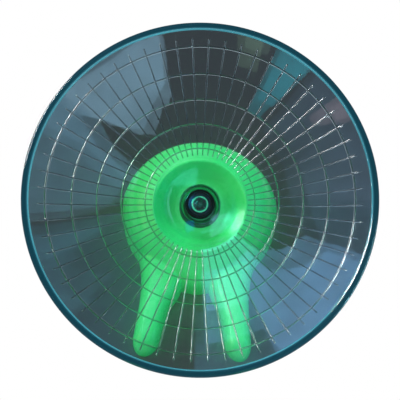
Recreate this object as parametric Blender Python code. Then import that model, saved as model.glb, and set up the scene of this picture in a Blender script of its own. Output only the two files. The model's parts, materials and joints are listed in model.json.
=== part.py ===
"""Hamster exercise disc: a see-through ribbed running dish that spins on two small ball bearings.
The bearings sit on a fixed pin that leans forward in a one-piece moulded stand. Metres, +Z up.
The origin is on the ground under the middle of the rim, and the dish leans towards -Y."""

import math

import bmesh
import bpy
from mathutils import Matrix, Vector

# Whole object
TILT = math.radians(30)
HUB_HEIGHT = 0.0450  # ground to the middle of the dish's floor
FIT_GAP = 0.0003  # between pieces that seat on each other
RUNNING_GAP = 0.00015  # between pieces that roll or slide past each other
MERGE_DISTANCE = 0.000001
OVERRUN = 0.0030  # how far a cutting shape runs past what it cuts

# Running dish
DISC_RADIUS = 0.0900
DISC_WALL = 0.0018
RIM_ROLL_RADIUS = 0.00195
FLOOR_RADIUS = 0.0198
SHOULDER_RADIUS = 0.0251
STEP_HEIGHT = 0.0048
DISH_START_SLOPE = math.radians(12)
DISH_END_SLOPE = math.radians(38)
RIB_COUNT = 60
RIB_WIDTH = 0.00075
RIB_HEIGHT = 0.0005
RIB_INSET = 0.0006  # shoulder to the ribs' inner ends
RIB_RIM_MARGIN = 0.0038  # ribs' outer ends to the rolled rim
RING_FIRST_RADIUS = 0.0294
RING_PITCH = 0.0124
ROLL_STEPS = 5
UNDERSIDE_STEPS = 3
STEP_STEPS = 3

# Hub tube under the dish
HUB_TUBE_WALL = 0.0021
HUB_TUBE_SIDES = 24
HUB_FOOT_SPREAD = 0.0036
HUB_END_LAND = 0.0014
HUB_SHOULDER_STEP = 0.0020

# Ball bearings, both alike
BEARING_RADIUS = 0.0080
BEARING_BORE_RADIUS = 0.0025
BALL_COUNT = 7
BALL_SECTION_SHARE = 0.505
RACE_SHOULDER_SHARE = 0.83
CAGE_SECTION_SHARE = 0.33
CAGE_LAND = 0.00027
POCKET_SIDES = 8
SHIELD_THICKNESS = 0.0003
SHIELD_INSET = 0.00024
SHIELD_SEAT_STEP = 0.00055
BEARING_SIDES = 18
GROOVE_STEPS = 3
SPACER_LENGTH = 0.0030
SPACER_WALL = 0.0010

# Fixed pin, its push nut, washers and screw
PIN_TOP_CLEARANCE = 0.0004
PIN_TIP_LENGTH = 0.0005
PIN_CHAMFER = 0.0003
PIN_SIDES = 16
NUT_RADIUS = 0.0043
NUT_THICKNESS = 0.0003
NUT_RISE = 0.0004
NUT_TOOTH_LENGTH = 0.0006
NUT_TEETH = 5
COLLAR_RADIUS = 0.0040
THRUST_WASHER_THICKNESS = 0.0005
SPIGOT_RADIUS = 0.0029
SPIGOT_LENGTH = 0.0100
SCREW_RADIUS = 0.0015
SCREW_ENGAGEMENT = 0.0065
SCREW_HEAD_RADIUS = 0.00275
SCREW_HEAD_HEIGHT = 0.0022
SCREW_SOCKET_RADIUS = 0.00125
SCREW_SOCKET_DEPTH = 0.0012
SCREW_WASHER_RADIUS = 0.0035
SCREW_WASHER_THICKNESS = 0.0005
RETAINER_THICKNESS = 0.0010
RETAINER_GROOVE_DEPTH = 0.0007
RETAINER_WIDTH = 0.0016
RETAINER_OPENING = math.radians(36)
ARC_STEPS = 18

# Stand: bell
STAND_WALL = 0.0024
FOOT_STRAIGHT = 0.0020  # straight lower edge of every outer wall
BELL_HALF_WIDTH = 0.0457
BELL_CENTRE_BEHIND_HUB = 0.0228
BELL_REAR_REACH = 0.0292
BELL_FRONT_REACH = 0.0536
BELL_TAPER_SHARE = 1.25  # 1 gives a plain oval front, more narrows it
BELL_SIDES = 32
BELL_RINGS = 5
LIP_DROP = 0.0100  # dish floor to the recess's lip, along the pin
LIP_WIDTH = 0.0024
RECESS_RADIUS = 0.0245
RECESS_FLOOR_RADIUS = 0.0145
HUB_RUNNING_CLEARANCE = 0.0010  # hub tube's end to the recess's floor
BOSS_WALL = 0.0030
BOSS_WEB = 0.0020
RISE_SHARE = 0.52
SHOULDER_REACH_SHARE = 0.44
SHOULDER_DROOP_SHARE = 0.32

# Stand: front legs
LEG_TIP_RADIUS = 0.0095  # how far the rounded tip reaches past its start
LEG_ROUNDNESS = 2.6
LEG_SECTION_STEPS = 7
LEG_LENGTH = 0.0710  # hub to tip, along the ground
LEG_OUTER_REACH = 0.0318
LEG_INNER_REACH = 0.0172
LEG_HEIGHT = 0.0150
# Each station: place along the leg, its outer edge, its inner edge and its height, as shares
LEG_STATION_SHARES = (
    (0.03, 1.170, 0.96, 1.12),
    (0.17, 1.050, 0.72, 1.08),
    (0.30, 0.985, 0.53, 1.03),
    (0.41, 0.960, 0.45, 0.98),
    (0.49, 0.955, 0.54, 0.94),
    (0.56, 0.955, 0.70, 0.91),
    (0.69, 0.970, 0.87, 0.87),
    (0.866, 1.000, 1.00, 0.80),
)
LEG_TIP_SHARES = (0.5, 0.8, 0.96)

# Places that follow from the sizes above
HALF_WALL = DISC_WALL / 2
ROLL_CENTRE_RADIUS = DISC_RADIUS - RIM_ROLL_RADIUS
ROLL_REACH = math.sqrt(RIM_ROLL_RADIUS**2 - HALF_WALL**2)
ROLL_TO_DISH_ACROSS = ROLL_REACH * math.cos(DISH_END_SLOPE) + HALF_WALL * math.sin(DISH_END_SLOPE)
ROLL_TO_DISH_DOWN = ROLL_REACH * math.sin(DISH_END_SLOPE) - HALF_WALL * math.cos(DISH_END_SLOPE)
ROLL_TO_UNDERSIDE_ACROSS = ROLL_TO_DISH_ACROSS - DISC_WALL * math.sin(DISH_END_SLOPE)
ROLL_TO_UNDERSIDE_DOWN = ROLL_TO_DISH_DOWN + DISC_WALL * math.cos(DISH_END_SLOPE)
RIM_INNER_RADIUS = ROLL_CENTRE_RADIUS - ROLL_TO_DISH_ACROSS
DISH_SINE_GAIN = math.sin(DISH_END_SLOPE) - math.sin(DISH_START_SLOPE)
DISH_ARC_RADIUS = (RIM_INNER_RADIUS - SHOULDER_RADIUS) / DISH_SINE_GAIN
RIM_INNER_HEIGHT = STEP_HEIGHT + DISH_ARC_RADIUS * (math.cos(DISH_START_SLOPE) - math.cos(DISH_END_SLOPE))
ROLL_CENTRE_HEIGHT = RIM_INNER_HEIGHT + ROLL_TO_DISH_DOWN
HUB_BEHIND_RIM = ROLL_CENTRE_HEIGHT * math.sin(TILT)
RIB_START_RADIUS = SHOULDER_RADIUS + RIB_INSET
RIB_END_RADIUS = RIM_INNER_RADIUS - RIB_RIM_MARGIN

BALL_PITCH_RADIUS = (BEARING_RADIUS + BEARING_BORE_RADIUS) / 2
BALL_RADIUS = BALL_SECTION_SHARE * (BEARING_RADIUS - BEARING_BORE_RADIUS) / 2
GROOVE_RADIUS = BALL_RADIUS + RUNNING_GAP
INNER_RACE_RADIUS = BALL_PITCH_RADIUS - RACE_SHOULDER_SHARE * BALL_RADIUS
OUTER_RACE_INSIDE = BALL_PITCH_RADIUS + RACE_SHOULDER_SHARE * BALL_RADIUS
CAGE_HALF_WIDTH = GROOVE_RADIUS + CAGE_LAND
SHIELD_SEAT_DEPTH = SHIELD_INSET + SHIELD_THICKNESS + RUNNING_GAP
SHIELD_SEAT_RADIUS = OUTER_RACE_INSIDE + SHIELD_SEAT_STEP
BEARING_WIDTH = 2 * (CAGE_HALF_WIDTH + RUNNING_GAP + SHIELD_THICKNESS + SHIELD_INSET)

HUB_BORE_RADIUS = BEARING_RADIUS + FIT_GAP
HUB_TUBE_RADIUS = HUB_BORE_RADIUS + HUB_TUBE_WALL
JOURNAL_RADIUS = BEARING_BORE_RADIUS - FIT_GAP
PIN_TOP = -DISC_WALL - PIN_TOP_CLEARANCE
NUT_BOTTOM = PIN_TOP - PIN_TIP_LENGTH - NUT_RISE - NUT_THICKNESS
UPPER_TOP = NUT_BOTTOM - FIT_GAP
UPPER_MIDDLE = UPPER_TOP - BEARING_WIDTH / 2
SPACER_TOP = UPPER_TOP - BEARING_WIDTH - FIT_GAP
LOWER_TOP = SPACER_TOP - SPACER_LENGTH - FIT_GAP
LOWER_MIDDLE = LOWER_TOP - BEARING_WIDTH / 2
LOWER_BOTTOM = LOWER_TOP - BEARING_WIDTH
RETAINER_TOP = LOWER_BOTTOM - FIT_GAP
RETAINER_BOTTOM = RETAINER_TOP - RETAINER_THICKNESS
HUB_TUBE_END = RETAINER_BOTTOM - RUNNING_GAP - HUB_END_LAND
WASHER_TOP = LOWER_BOTTOM - FIT_GAP
COLLAR_TOP = WASHER_TOP - THRUST_WASHER_THICKNESS - FIT_GAP
RECESS_FLOOR = HUB_TUBE_END - HUB_RUNNING_CLEARANCE
COLLAR_BOTTOM = RECESS_FLOOR + FIT_GAP
PIN_BOTTOM = COLLAR_BOTTOM - SPIGOT_LENGTH
SPIGOT_BORE_RADIUS = SPIGOT_RADIUS + FIT_GAP
SPIGOT_BORE_BOTTOM = PIN_BOTTOM - FIT_GAP
BOSS_RADIUS = SPIGOT_BORE_RADIUS + BOSS_WALL
BOSS_BOTTOM = SPIGOT_BORE_BOTTOM - BOSS_WEB
SCREW_HOLE_RADIUS = SCREW_RADIUS + FIT_GAP
SCREW_WASHER_TOP = BOSS_BOTTOM - FIT_GAP
SCREW_HEAD_TOP = SCREW_WASHER_TOP - SCREW_WASHER_THICKNESS - FIT_GAP
SCREW_HEAD_BOTTOM = SCREW_HEAD_TOP - SCREW_HEAD_HEIGHT
SCREW_TOP = PIN_BOTTOM + SCREW_ENGAGEMENT

HUB = Vector((0, HUB_BEHIND_RIM, HUB_HEIGHT))
LEAN = Matrix.Translation(HUB) @ Matrix.Rotation(TILT, 4, "X")


def material(name, colour, roughness, metallic=0.0, transmission=0.0):
    made = bpy.data.materials.new(name)
    made.use_nodes = True
    shader = made.node_tree.nodes["Principled BSDF"]
    shader.inputs["Base Color"].default_value = (*colour, 1.0)
    shader.inputs["Roughness"].default_value = roughness
    shader.inputs["Metallic"].default_value = metallic
    shader.inputs["Transmission Weight"].default_value = transmission
    return made


def add_object(name, bm, finish, parent=None, along=0.0):
    """Closes a bmesh into a named object, at a place along the pin's axis when it has a parent."""
    bmesh.ops.remove_doubles(bm, verts=bm.verts, dist=MERGE_DISTANCE)
    bmesh.ops.recalc_face_normals(bm, faces=bm.faces)
    mesh = bpy.data.meshes.new(name)
    bm.to_mesh(mesh)
    bm.free()
    mesh.shade_smooth()
    mesh.set_sharp_from_angle(angle=math.radians(35))
    mesh.materials.append(finish)
    made = bpy.data.objects.new(name, mesh)
    bpy.context.scene.collection.objects.link(made)
    made.parent = parent
    made.location.z = along
    return made


def add_cutter(name, bm, parent=None, along=0.0):
    made = add_object(name, bm, bpy.data.materials["cutter"], parent, along)
    made.hide_render = True
    made.display_type = "WIRE"
    return made


def combine(target, operation, other):
    step = target.modifiers.new(other.name, "BOOLEAN")
    step.operation = operation
    step.object = other


def chain(bm, points, closed=False):
    """Points joined by edges, as a profile to spin or to bridge."""
    verts = [bm.verts.new(point) for point in points]
    pairs = list(zip(verts, verts[1:]))
    if closed:
        pairs.append((verts[-1], verts[0]))
    return [bm.edges.new(pair) for pair in pairs]


def spin(bm, profile, sides, closed=False):
    """Turns a profile of (radius, height) points about the Z axis."""
    edges = chain(bm, [(radius, 0, height) for radius, height in profile], closed)
    verts = {vert for edge in edges for vert in edge.verts}
    bmesh.ops.spin(bm, geom=[*verts, *edges], cent=(0, 0, 0), axis=(0, 0, 1),
                   angle=math.tau, steps=sides, use_merge=True)


def turned(profile, sides, closed=False):
    bm = bmesh.new()
    spin(bm, profile, sides, closed)
    return bm


def ring(inside, outside, bottom, top):
    """The square section of a washer or a sleeve, to be turned."""
    return [(inside, bottom), (outside, bottom), (outside, top), (inside, top)]


def arc(centre_radius, centre_height, radius, start, end, steps):
    """Points on an arc in the (radius, height) plane."""
    angles = [start + (end - start) * step / steps for step in range(steps + 1)]
    return [(centre_radius + radius * math.cos(a), centre_height + radius * math.sin(a)) for a in angles]


def open_ring(inside, outside, opening, thickness):
    """A flat ring with a gap towards -Y, its top face at height 0, as a spring clip is stamped."""
    start = -math.pi / 2 + opening / 2
    end = 3 * math.pi / 2 - opening / 2
    outline = arc(0, 0, outside, start, end, ARC_STEPS) + arc(0, 0, inside, end, start, ARC_STEPS)
    bm = bmesh.new()
    face = bm.faces.new([bm.verts.new((x, y, 0)) for x, y in outline])
    raised = bmesh.ops.extrude_face_region(bm, geom=[face])["geom"]
    verts = [item for item in raised if isinstance(item, bmesh.types.BMVert)]
    bmesh.ops.translate(bm, verts=verts, vec=(0, 0, -thickness))
    return bm


def dish_slope(radius):
    return math.asin(math.sin(DISH_START_SLOPE) + (radius - SHOULDER_RADIUS) / DISH_ARC_RADIUS)


def dish_height(radius):
    """Height of the running surface above the dish's floor."""
    return STEP_HEIGHT + DISH_ARC_RADIUS * (math.cos(DISH_START_SLOPE) - math.cos(dish_slope(radius)))


def underside_point(radius):
    """The point under the running surface's point at this radius, one wall away."""
    slope = dish_slope(radius)
    return radius + DISC_WALL * math.sin(slope), dish_height(radius) - DISC_WALL * math.cos(slope)


def step_curve(start, end, steps):
    """The S-shaped wall from the floor (level) to the shoulder (at the dish's first slope)."""
    run = (end[0] - start[0]) / 2
    bend_in = (start[0] + run, start[1])
    bend_out = (end[0] - run * math.cos(DISH_START_SLOPE), end[1] - run * math.sin(DISH_START_SLOPE))
    points = []
    for step in range(steps + 1):
        t = step / steps
        weights = ((1 - t) ** 3, 3 * t * (1 - t) ** 2, 3 * t**2 * (1 - t), t**3)
        corners = (start, bend_in, bend_out, end)
        points.append(tuple(sum(w * corner[axis] for w, corner in zip(weights, corners)) for axis in (0, 1)))
    return points


def rib_rings():
    """Middle radii of the circular ribs, as many as fit inside the radial ribs' outer ends."""
    count = int((RIB_END_RADIUS - RIB_WIDTH - RING_FIRST_RADIUS) / RING_PITCH) + 1
    return [RING_FIRST_RADIUS + RING_PITCH * number for number in range(count)]


def rib_stations():
    """Radii and half widths along one radial rib. Its strip starts and ends as a point."""
    half = RIB_WIDTH / 2
    stations = [(SHOULDER_RADIUS, 0), (RIB_START_RADIUS, half)]
    for radius in rib_rings():
        stations += [(radius - half, half), (radius + half, half)]
    return stations + [(RIB_END_RADIUS, half), (RIM_INNER_RADIUS, 0)]


def strip_edge(bm, stations, side, turn):
    """One long edge of a radial rib, laid on the running surface."""
    points = []
    for radius, half_width in stations:
        along = math.sqrt(radius**2 - half_width**2)
        points.append(turn @ Vector((along, side * half_width, dish_height(radius))))
    return chain(bm, points)


def raise_ribs(bm, faces):
    """Lifts the faces of the grid of ribs off the running surface, square to it."""
    lifted = bmesh.ops.extrude_face_region(bm, geom=faces)["geom"]
    bmesh.ops.delete(bm, geom=faces, context="FACES")
    for vert in (item for item in lifted if isinstance(item, bmesh.types.BMVert)):
        slope = dish_slope(vert.co.xy.length)
        outward = vert.co.xy.normalized()
        up = Vector((-outward.x * math.sin(slope), -outward.y * math.sin(slope), math.cos(slope)))
        vert.co += up * RIB_HEIGHT


def running_surface(bm):
    """The dish's upper face: a strip for each radial rib, the gaps between them, and the raised grid."""
    stations = rib_stations()
    strips = []
    for number in range(RIB_COUNT):
        turn = Matrix.Rotation(math.tau * number / RIB_COUNT, 3, "Z")
        strips.append([strip_edge(bm, stations, side, turn) for side in (-1, 1)])
    raised = []
    half = RIB_WIDTH / 2
    for number, (right, left) in enumerate(strips):
        next_right = strips[(number + 1) % RIB_COUNT][0]
        on_rib = bmesh.ops.bridge_loops(bm, edges=right + left)["faces"]
        in_gap = bmesh.ops.bridge_loops(bm, edges=left + next_right)["faces"]
        for face in on_rib:
            radius = face.calc_center_median().xy.length
            if RIB_START_RADIUS < radius < RIB_END_RADIUS:
                raised.append(face)
        for face in in_gap:
            edge_radii = [vert.co.xy.length for vert in face.verts]
            middle = (min(edge_radii) + max(edge_radii)) / 2
            if any(abs(middle - radius) < half for radius in rib_rings()):
                raised.append(face)
    raise_ribs(bm, raised)


def dish_lower_profile():
    """From the running surface's outer edge round the rolled rim and back under the dish to its floor."""
    start = math.atan2(-ROLL_TO_DISH_DOWN, -ROLL_TO_DISH_ACROSS) % math.tau
    end = math.atan2(-ROLL_TO_UNDERSIDE_DOWN, -ROLL_TO_UNDERSIDE_ACROSS)
    roll = arc(ROLL_CENTRE_RADIUS, ROLL_CENTRE_HEIGHT, RIM_ROLL_RADIUS, start, end, ROLL_STEPS)
    span = RIM_INNER_RADIUS - SHOULDER_RADIUS
    under = [underside_point(RIM_INNER_RADIUS - span * step / UNDERSIDE_STEPS)
             for step in range(1, UNDERSIDE_STEPS + 1)]
    floor_edge = (FLOOR_RADIUS + HALF_WALL, -DISC_WALL)
    wall = step_curve(floor_edge, under[-1], STEP_STEPS)[::-1]
    return roll + under + wall[1:] + [(HUB_TUBE_RADIUS + HUB_FOOT_SPREAD, -DISC_WALL)]


def hub_tube_profile():
    """Down the hub tube's outside, round its end, and up its bore past the retaining ring's groove."""
    groove = HUB_BORE_RADIUS + RETAINER_GROOVE_DEPTH
    pocket = HUB_BORE_RADIUS - HUB_SHOULDER_STEP
    shoulder = UPPER_TOP + FIT_GAP
    return [
        (HUB_TUBE_RADIUS, -DISC_WALL),
        (HUB_TUBE_RADIUS, HUB_TUBE_END),
        (HUB_BORE_RADIUS, HUB_TUBE_END),
        (HUB_BORE_RADIUS, RETAINER_BOTTOM - RUNNING_GAP),
        (groove, RETAINER_BOTTOM - RUNNING_GAP),
        (groove, RETAINER_TOP + RUNNING_GAP),
        (HUB_BORE_RADIUS, RETAINER_TOP + RUNNING_GAP),
        (HUB_BORE_RADIUS, shoulder),
        (pocket, shoulder),
        (pocket, -DISC_WALL),
        (0, -DISC_WALL),
    ]


def running_disc(parent):
    """The dish in one moulding: floor, stepped wall, ribbed running surface, rolled rim and hub tube."""
    bm = bmesh.new()
    running_surface(bm)
    floor = step_curve((FLOOR_RADIUS, 0), (SHOULDER_RADIUS, STEP_HEIGHT), STEP_STEPS)
    spin(bm, [(0, 0)] + floor, RIB_COUNT)
    spin(bm, dish_lower_profile(), RIB_COUNT)
    spin(bm, hub_tube_profile(), HUB_TUBE_SIDES)
    bmesh.ops.remove_doubles(bm, verts=bm.verts, dist=MERGE_DISTANCE)
    bmesh.ops.bridge_loops(bm, edges=[edge for edge in bm.edges if edge.is_boundary])
    tint = material("tinted_clear_plastic", (0.16, 0.30, 0.40), 0.08, transmission=0.85)
    add_object("running_disc", bm, tint, parent)


def race_groove(sign):
    """The ball groove of a race, from its upper edge to its lower one. Sign is 1 on the outer race."""
    reach = math.asin(math.sqrt(GROOVE_RADIUS**2 - (RACE_SHOULDER_SHARE * BALL_RADIUS) ** 2) / GROOVE_RADIUS)
    points = arc(0, 0, GROOVE_RADIUS, reach, -reach, GROOVE_STEPS)
    return [(BALL_PITCH_RADIUS + sign * across, height) for across, height in points]


def outer_race_profile():
    half = BEARING_WIDTH / 2
    seat = half - SHIELD_SEAT_DEPTH
    upper = [
        (BEARING_RADIUS, half),
        (SHIELD_SEAT_RADIUS, half),
        (SHIELD_SEAT_RADIUS, seat),
        (OUTER_RACE_INSIDE, seat),
    ]
    lower = [(radius, -height) for radius, height in reversed(upper)]
    return upper + race_groove(1) + lower


def inner_race_profile():
    half = BEARING_WIDTH / 2
    upper = [(BEARING_BORE_RADIUS, half), (INNER_RACE_RADIUS, half)]
    lower = [(radius, -height) for radius, height in reversed(upper)]
    return upper + race_groove(-1) + lower


def ball_places():
    """Where each ball sits on the pitch circle."""
    for number in range(BALL_COUNT):
        turn = Matrix.Rotation(math.tau * number / BALL_COUNT, 4, "Z")
        yield turn @ Matrix.Translation((BALL_PITCH_RADIUS, 0, 0))


def bearing_balls(name, polished, parent, along):
    for number, place in enumerate(ball_places(), 1):
        bm = bmesh.new()
        bmesh.ops.create_icosphere(bm, subdivisions=2, radius=BALL_RADIUS, matrix=place)
        add_object(f"{name}{number}", bm, polished, parent, along)


def bearing_cage(name, steel, parent, along):
    """A ring with a round pocket for each ball."""
    half = CAGE_SECTION_SHARE * BALL_RADIUS
    band = ring(BALL_PITCH_RADIUS - half, BALL_PITCH_RADIUS + half, -CAGE_HALF_WIDTH, CAGE_HALF_WIDTH)
    cage = add_object(name, turned(band, 2 * BALL_COUNT, closed=True), steel, parent, along)
    bm = bmesh.new()
    facing_out = Matrix.Rotation(math.pi / 2, 4, "Y") @ Matrix.Rotation(math.pi / POCKET_SIDES, 4, "Z")
    radius = GROOVE_RADIUS / math.cos(math.pi / POCKET_SIDES)
    for place in ball_places():
        bmesh.ops.create_cone(bm, cap_ends=True, segments=POCKET_SIDES, radius1=radius, radius2=radius,
                              depth=2 * BALL_RADIUS, matrix=place @ facing_out)
    combine(cage, "DIFFERENCE", add_cutter(name + "_pockets", bm, parent, along))


def ball_bearing(place, steel, polished, middle, fixed, disc, cage_parent):
    """One shielded ball bearing: two races, seven balls in a cage, and a thin shield on each side."""
    name = place + "_bearing_"
    outer = turned(outer_race_profile(), BEARING_SIDES, closed=True)
    add_object(name + "outer_race", outer, steel, disc, middle)
    inner = turned(inner_race_profile(), BEARING_SIDES, closed=True)
    add_object(name + "inner_race", inner, steel, fixed, middle)
    bearing_balls(name + "ball_", polished, cage_parent, middle)
    bearing_cage(name + "cage", steel, cage_parent, middle)
    shield_top = BEARING_WIDTH / 2 - SHIELD_INSET
    shield_bottom = shield_top - SHIELD_THICKNESS
    band = ring(INNER_RACE_RADIUS + FIT_GAP, SHIELD_SEAT_RADIUS - FIT_GAP, shield_bottom, shield_top)
    add_object(name + "top_shield", turned(band, BEARING_SIDES, closed=True), steel, disc, middle)
    band = [(radius, -height) for radius, height in band]
    add_object(name + "bottom_shield", turned(band, BEARING_SIDES, closed=True), steel, disc, middle)


def spacers(fixed, disc, steel):
    """The two sleeves that hold the bearings apart."""
    outer = ring(BEARING_RADIUS - SPACER_WALL, BEARING_RADIUS, -SPACER_LENGTH, 0)
    add_object("outer_spacer", turned(outer, BEARING_SIDES, closed=True), steel, disc, SPACER_TOP)
    inner = ring(BEARING_BORE_RADIUS, BEARING_BORE_RADIUS + SPACER_WALL, -SPACER_LENGTH, 0)
    add_object("inner_spacer", turned(inner, BEARING_SIDES, closed=True), steel, fixed, SPACER_TOP)


def axle_pin(fixed, steel):
    """The shouldered pin: journal, collar, and a spigot tapped for the screw."""
    profile = [
        (0, PIN_TOP),
        (JOURNAL_RADIUS - PIN_CHAMFER, PIN_TOP),
        (JOURNAL_RADIUS, PIN_TOP - PIN_CHAMFER),
        (JOURNAL_RADIUS, COLLAR_TOP),
        (COLLAR_RADIUS, COLLAR_TOP),
        (COLLAR_RADIUS, COLLAR_BOTTOM),
        (SPIGOT_RADIUS, COLLAR_BOTTOM),
        (SPIGOT_RADIUS, PIN_BOTTOM),
        (SCREW_HOLE_RADIUS, PIN_BOTTOM),
        (SCREW_HOLE_RADIUS, SCREW_TOP + FIT_GAP),
        (0, SCREW_TOP + FIT_GAP),
    ]
    add_object("axle_pin", turned(profile, PIN_SIDES), steel, fixed)


def push_nut(fixed, steel):
    """A flat-rimmed washer whose middle rises in sprung teeth, pushed over the pin's end."""
    tip_radius = JOURNAL_RADIUS + FIT_GAP
    root_radius = tip_radius + NUT_TOOTH_LENGTH
    profile = [(tip_radius, NUT_RISE), (root_radius, 0), (NUT_RADIUS, 0)]
    profile += [(radius, height + NUT_THICKNESS) for radius, height in reversed(profile)]
    sides = 4 * NUT_TEETH
    bm = turned(profile, sides, closed=True)
    cut_back = (tip_radius + root_radius) / 2
    for vert in bm.verts:
        number = round(math.atan2(vert.co.y, vert.co.x) * sides / math.tau) % 4
        if number > 1 and vert.co.xy.length < cut_back:
            vert.co.xy *= cut_back / vert.co.xy.length
            vert.co.z -= NUT_RISE / 2
    add_object("axle_push_nut", bm, steel, fixed, NUT_BOTTOM)


def pin_hardware(fixed, disc, steel):
    """The washers, the screw from beneath, and the ring that keeps the bearings in the hub."""
    push_nut(fixed, steel)
    washer = ring(JOURNAL_RADIUS + FIT_GAP, COLLAR_RADIUS, -THRUST_WASHER_THICKNESS, 0)
    add_object("thrust_washer", turned(washer, PIN_SIDES, closed=True), steel, fixed, WASHER_TOP)
    washer = ring(SCREW_HOLE_RADIUS, SCREW_WASHER_RADIUS, -SCREW_WASHER_THICKNESS, 0)
    add_object("axle_screw_washer", turned(washer, PIN_SIDES, closed=True), steel, fixed, SCREW_WASHER_TOP)
    screw = [
        (0, SCREW_TOP),
        (SCREW_RADIUS, SCREW_TOP),
        (SCREW_RADIUS, SCREW_HEAD_TOP),
        (SCREW_HEAD_RADIUS, SCREW_HEAD_TOP),
        (SCREW_HEAD_RADIUS, SCREW_HEAD_BOTTOM),
        (SCREW_SOCKET_RADIUS, SCREW_HEAD_BOTTOM),
        (SCREW_SOCKET_RADIUS, SCREW_HEAD_BOTTOM + SCREW_SOCKET_DEPTH),
        (0, SCREW_HEAD_BOTTOM + SCREW_SOCKET_DEPTH),
    ]
    add_object("axle_screw", turned(screw, PIN_SIDES), steel, fixed)
    outside = HUB_BORE_RADIUS + RETAINER_GROOVE_DEPTH - FIT_GAP
    retainer = open_ring(outside - RETAINER_WIDTH, outside, RETAINER_OPENING, RETAINER_THICKNESS)
    add_object("hub_retaining_ring", retainer, steel, disc, RETAINER_TOP)


def bell_foot(angle, inset):
    """The bell's outline on the ground: round behind, longer and narrowing in front."""
    behind = math.sin(angle) > 0
    reach = BELL_REAR_REACH if behind else BELL_FRONT_REACH
    taper = 1 if behind else BELL_TAPER_SHARE
    across = (BELL_HALF_WIDTH - inset) * math.copysign(abs(math.cos(angle)) ** taper, math.cos(angle))
    along = HUB.y + BELL_CENTRE_BEHIND_HUB + (reach - inset) * math.sin(angle)
    return Vector((across, along, FOOT_STRAIGHT))


def pin_circle_point(angle, radius, along):
    """A point on a circle about the leaning pin."""
    return LEAN @ Vector((radius * math.cos(angle), radius * math.sin(angle), along))


def depth_under_ground(inset):
    """How far a shape runs below the ground: the hollows run further than the shapes they cut."""
    return 2 * OVERRUN if inset else OVERRUN


def bell_rings(inset, top_radius, top_along):
    """Rings from under the ground up the bell to the circle about the pin that ends it."""
    rings = [[] for _ in range(BELL_RINGS + 2)]
    for side in range(BELL_SIDES):
        angle = math.tau * side / BELL_SIDES
        foot = bell_foot(angle, inset)
        top = pin_circle_point(angle, top_radius, top_along)
        span = (top - foot).length
        rise = foot + Vector((0, 0, RISE_SHARE * top.z))
        outward = pin_circle_point(angle, 1, -SHOULDER_DROOP_SHARE) - pin_circle_point(angle, 0, 0)
        shoulder = top + outward.normalized() * SHOULDER_REACH_SHARE * span
        rings[0].append(Vector((foot.x, foot.y, -depth_under_ground(inset))))
        for step in range(BELL_RINGS + 1):
            t = step / BELL_RINGS
            lower_half = foot * (1 - t) ** 3 + rise * 3 * t * (1 - t) ** 2
            upper_half = shoulder * 3 * t**2 * (1 - t) + top * t**3
            rings[step + 1].append(lower_half + upper_half)
    return rings


def pin_ring(radius, along):
    return [pin_circle_point(math.tau * side / BELL_SIDES, radius, along) for side in range(BELL_SIDES)]


def lofted(rings):
    """Joins a stack of equal rings with faces, each point to its own one above, and caps both ends."""
    bm = bmesh.new()
    loops = [[bm.verts.new(point) for point in points] for points in rings]
    for lower, upper in zip(loops, loops[1:]):
        for number in range(len(lower)):
            bm.faces.new((lower[number - 1], lower[number], upper[number], upper[number - 1]))
    bm.faces.new(loops[0])
    bm.faces.new(loops[-1])
    return bm


def bell_outside():
    """The bell's outer shape with the recess for the hub and the bore for the pin's spigot."""
    lip = RECESS_RADIUS + LIP_WIDTH
    rings = bell_rings(0, lip, -LIP_DROP - LIP_WIDTH / 2)
    rings += [
        pin_ring(RECESS_RADIUS + LIP_WIDTH / 2, -LIP_DROP),
        pin_ring(RECESS_RADIUS, -LIP_DROP - LIP_WIDTH / 2),
        pin_ring(RECESS_FLOOR_RADIUS + LIP_WIDTH / 2, RECESS_FLOOR + LIP_WIDTH / 2),
        pin_ring(RECESS_FLOOR_RADIUS - LIP_WIDTH / 2, RECESS_FLOOR),
        pin_ring(SPIGOT_BORE_RADIUS, RECESS_FLOOR),
        pin_ring(SPIGOT_BORE_RADIUS, SPIGOT_BORE_BOTTOM),
    ]
    return lofted(rings)


def bell_inside():
    """The hollow under the bell, shaped round the underside of the recess and the pin's boss."""
    top_along = -LIP_DROP - LIP_WIDTH / 2 - STAND_WALL
    rings = bell_rings(STAND_WALL, RECESS_RADIUS + LIP_WIDTH + STAND_WALL / 2, top_along)
    slant = STAND_WALL * math.sqrt(2) / 2
    rings += [
        pin_ring(RECESS_FLOOR_RADIUS + LIP_WIDTH / 2 + slant, RECESS_FLOOR + LIP_WIDTH / 2 - slant),
        pin_ring(RECESS_FLOOR_RADIUS, RECESS_FLOOR - STAND_WALL),
        pin_ring(BOSS_RADIUS, RECESS_FLOOR - STAND_WALL),
        pin_ring(BOSS_RADIUS, BOSS_BOTTOM),
    ]
    return lofted(rings)


def leg_stations(side):
    """Place, middle, half width and height of each section of a leg, with its rounded tip."""
    stations = []
    for place_share, outer_share, inner_share, height_share in LEG_STATION_SHARES:
        outer = outer_share * LEG_OUTER_REACH
        inner = inner_share * LEG_INNER_REACH
        stations.append((HUB.y - place_share * LEG_LENGTH, side * (outer + inner) / 2,
                         (outer - inner) / 2, height_share * LEG_HEIGHT))
    return stations


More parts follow.
